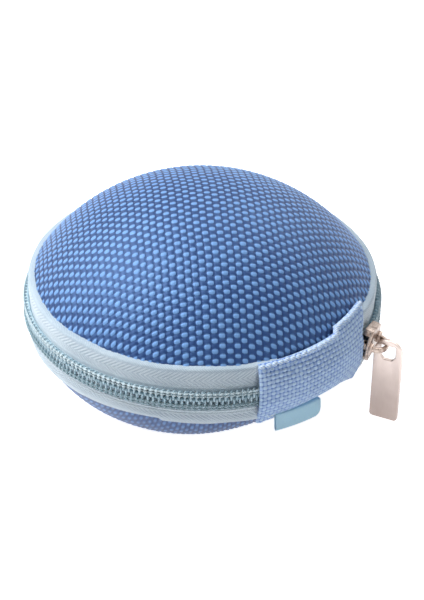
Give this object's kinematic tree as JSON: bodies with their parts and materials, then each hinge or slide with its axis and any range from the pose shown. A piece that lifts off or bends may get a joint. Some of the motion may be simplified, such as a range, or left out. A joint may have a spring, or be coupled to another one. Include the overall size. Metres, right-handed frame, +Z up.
{
  "type": "earphone case",
  "caption": "Round zipped hard-shell case for wired earphones, with a domed woven lid, coil zip, fabric hinge patch and folded side tag.",
  "frame": {"origin": "centre of the flat face under the base, which the case stands on", "axes": "+Z up through the crown of the lid, +Y towards the fabric hinge, so -Y is the side that opens, and X along the hinge"},
  "size_m": [0.08, 0.0834, 0.0463],
  "materials": {
    "nylon": "blue ballistic nylon, plain basket weave",
    "foam": "moulded EVA foam",
    "lining": "brushed knitted lining",
    "binding": "bias tape",
    "tape": "pale blue-grey herringbone tape",
    "coil": "pale nylon filament",
    "net": "knitted net",
    "band": "ribbed elastic",
    "patch": "lighter blue open weave",
    "tag": "sky-blue woven ribbon",
    "nickel": "warm nickel plating, finely brushed on the pull"
  },
  "bodies": {
    "base": {"base_cover": "nylon", "base_shell": "foam", "base_lining": "lining", "base_binding": "binding", "lower_tape": "tape", "lower_coil": "coil", "lower_cord": "tape", "hinge_patch": "patch", "hinge_backing": "lining", "side_tag": "tag"},
    "lid": {"lid_cover": "nylon", "lid_shell": "foam", "lid_lining": "lining", "lid_binding": "binding", "upper_tape": "tape", "upper_tape_end_left": "tape", "upper_tape_end_right": "tape", "upper_coil": "coil", "upper_cord": "tape", "pocket_net": "net", "pocket_band": "band"},
    "slider": {"slider_body": "nickel", "slider_bridge": "nickel"},
    "pull": {"pull_tab": "nickel"}
  },
  "joints": [
    {"name": "lid_hinge", "type": "hinge", "parent": "base", "child": "lid", "pos_m": [0, 0.0404, 0.02], "axis": [-1, 0, 0], "range_deg": [0, 160], "deforming": ["hinge_patch", "hinge_backing", "upper_tape_end_left", "upper_tape_end_right"]},
    {"name": "slider_travel", "type": "hinge", "parent": "base", "child": "slider", "pos_m": [0, 0, 0.02], "axis": [0, 0, 1], "range_deg": [0, 305], "deforming": ["upper_coil", "upper_cord", "lower_coil", "lower_cord"]},
    {"name": "pull_swing", "type": "hinge", "parent": "slider", "child": "pull", "pos_m": [-0.01963, 0.03971, 0.01927], "axis": [0.8965, 0.4431, 0], "range_deg": [-8, 120]}
  ]
}
